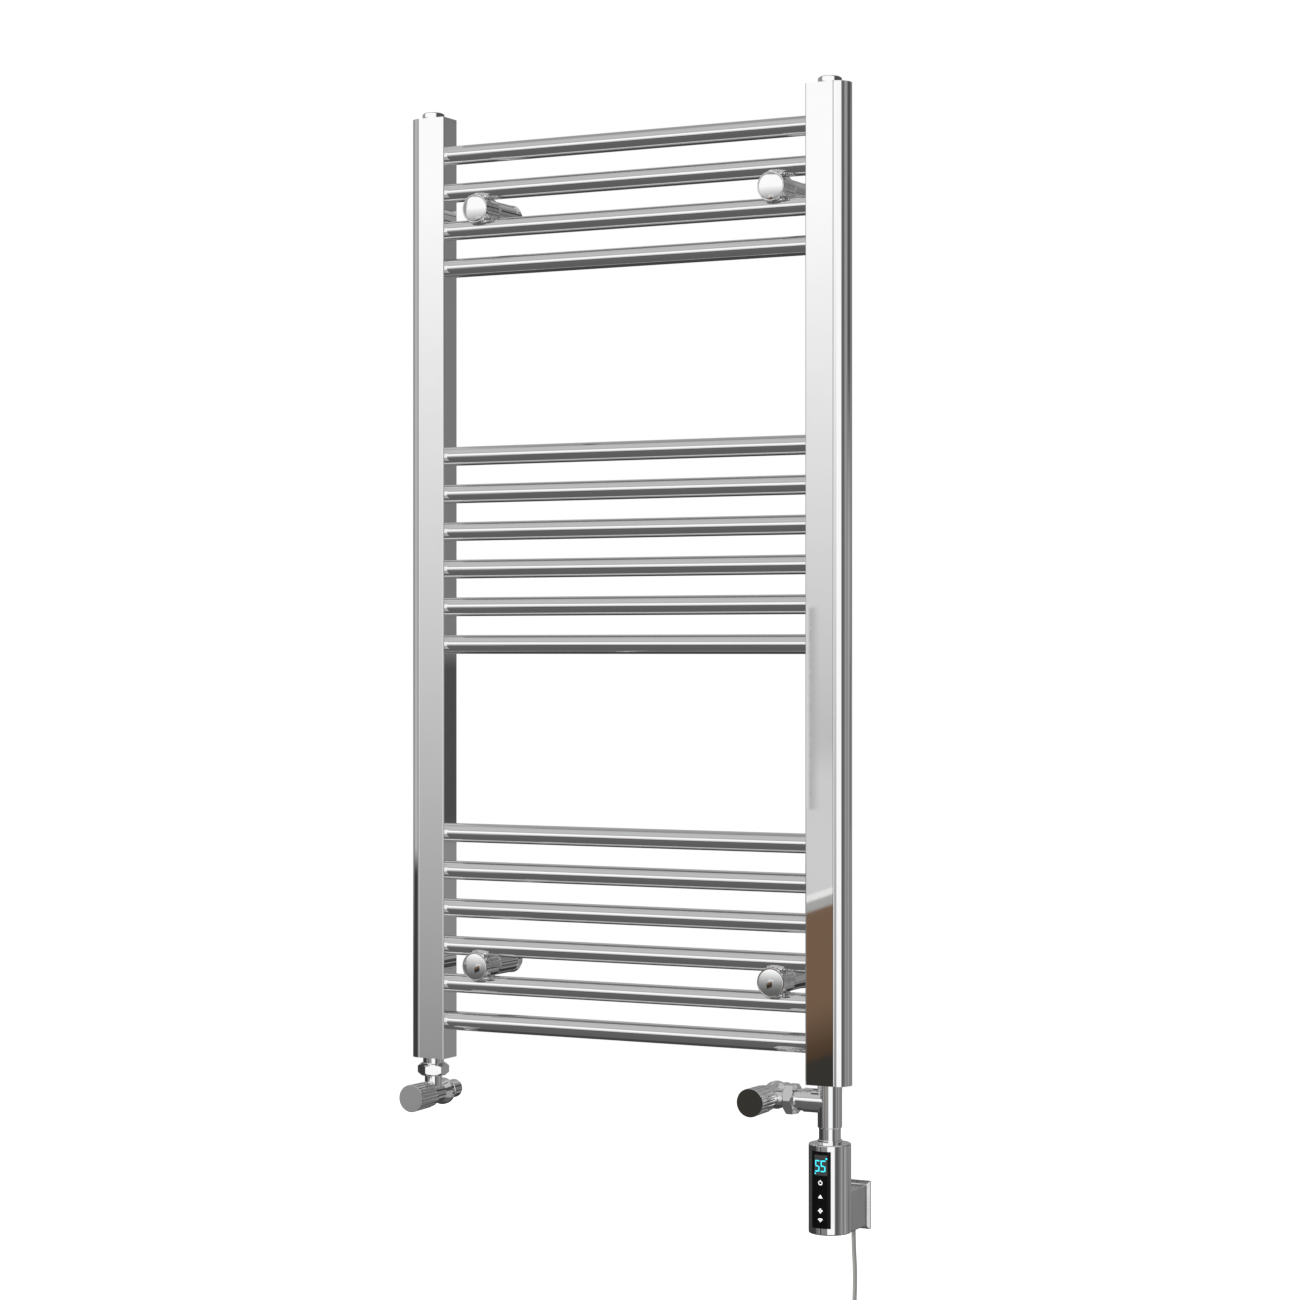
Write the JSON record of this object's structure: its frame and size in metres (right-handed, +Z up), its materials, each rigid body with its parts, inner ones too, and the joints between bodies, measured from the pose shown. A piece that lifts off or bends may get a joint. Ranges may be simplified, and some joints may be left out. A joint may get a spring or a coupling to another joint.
{
  "type": "radiator with valve",
  "caption": "Chrome ladder radiator of round rails between D-section posts, on wall brackets, with fluted angle valves and a touch-panel heating element controller.",
  "frame": {"origin": "on the wall plane, at the centre of the four wall screws", "axes": "+X along the rails towards the controller, +Y into the wall, +Z up; the front faces -Y"},
  "size_m": [0.508, 0.118, 1.3938],
  "materials": {
    "chrome": "mirror bright",
    "brass": "turned",
    "zinc_steel": "zinc plated",
    "element_sheath": "drawn sheath",
    "seal_rubber": "moulded",
    "panel_black": "polished",
    "base_plastic": "fine grain",
    "board_green": "solder mask",
    "box_silver": "plated plastic",
    "cord_grey": "soft sheath",
    "tie_white": "moulded",
    "plug_white": "moulded"
  },
  "bodies": {
    "wall_fixings": {"wall_bosses": "zinc_steel", "cable_box": "box_silver", "box_wall_plate": "box_silver", "cord": "cord_grey", "cord_coil": "cord_grey", "cord_tail": "cord_grey", "cord_tie": "tie_white", "plug": "plug_white", "plug_pins": "brass"},
    "radiator": {"left_post": "chrome", "right_post": "chrome", "post_end_caps": "chrome", "rail_01": "chrome", "rail_02": "chrome", "rail_03": "chrome", "rail_04": "chrome", "rail_05": "chrome", "rail_06": "chrome", "rail_07": "chrome", "rail_08": "chrome", "rail_09": "chrome", "rail_10": "chrome", "rail_11": "chrome", "rail_12": "chrome", "rail_13": "chrome", "rail_14": "chrome", "rail_15": "chrome", "rail_16": "chrome", "air_vent": "chrome", "blanking_plug": "chrome", "bracket_holders": "chrome", "clamp_discs": "chrome", "dome_caps": "chrome", "tee_piece": "chrome", "element_collar": "chrome", "controller_housing": "chrome", "left_tail": "chrome", "left_union_nut": "chrome", "left_valve_body": "chrome", "left_compression_nut": "chrome", "right_tail": "chrome", "right_union_nut": "chrome", "right_valve_body": "chrome", "right_compression_nut": "chrome", "olives": "brass", "left_bonnet": "brass", "right_bonnet": "brass", "clamp_screws": "zinc_steel", "grub_screws": "zinc_steel", "heating_element": "element_sheath", "sealing_rings": "seal_rubber", "touch_panel": "panel_black", "controller_base": "base_plastic", "control_board": "board_green", "cable_spigot": "box_silver"},
    "left_knob": {"left_knob": "chrome"},
    "left_spindle": {"left_spindle": "brass"},
    "right_knob": {"right_knob": "chrome"},
    "right_spindle": {"right_spindle": "brass"},
    "bleed_screw": {"bleed_screw": "brass"}
  },
  "joints": [
    {"name": "wall_reach", "type": "slide", "parent": "wall_fixings", "child": "radiator", "axis": [0, -1, 0], "range_m": [-0.005, 0.005]},
    {"name": "left_knob_turn", "type": "hinge", "parent": "radiator", "child": "left_knob", "pos_m": [-0.231, -0.072, -0.539], "axis": [0, -1, 0], "range_deg": [0, 720]},
    {"name": "left_spindle_lift", "type": "slide", "parent": "left_knob", "child": "left_spindle", "axis": [0, -1, 0], "range_m": [0, 0.003]},
    {"name": "right_knob_turn", "type": "hinge", "parent": "radiator", "child": "right_knob", "pos_m": [0.164, -0.072, -0.517], "axis": [0, -1, 0], "range_deg": [0, 720]},
    {"name": "right_spindle_lift", "type": "slide", "parent": "right_knob", "child": "right_spindle", "axis": [0, -1, 0], "range_m": [0, 0.003]},
    {"name": "bleed_screw_turn", "type": "hinge", "parent": "radiator", "child": "bleed_screw", "pos_m": [-0.231, -0.072, 0.505], "axis": [0, 0, 1], "range_deg": [0, 360]}
  ],
  "couplings": [
    {"joint": "left_spindle_lift", "follows": "left_knob_turn", "m_per_rad": 0.000238},
    {"joint": "right_spindle_lift", "follows": "right_knob_turn", "m_per_rad": 0.000238}
  ]
}
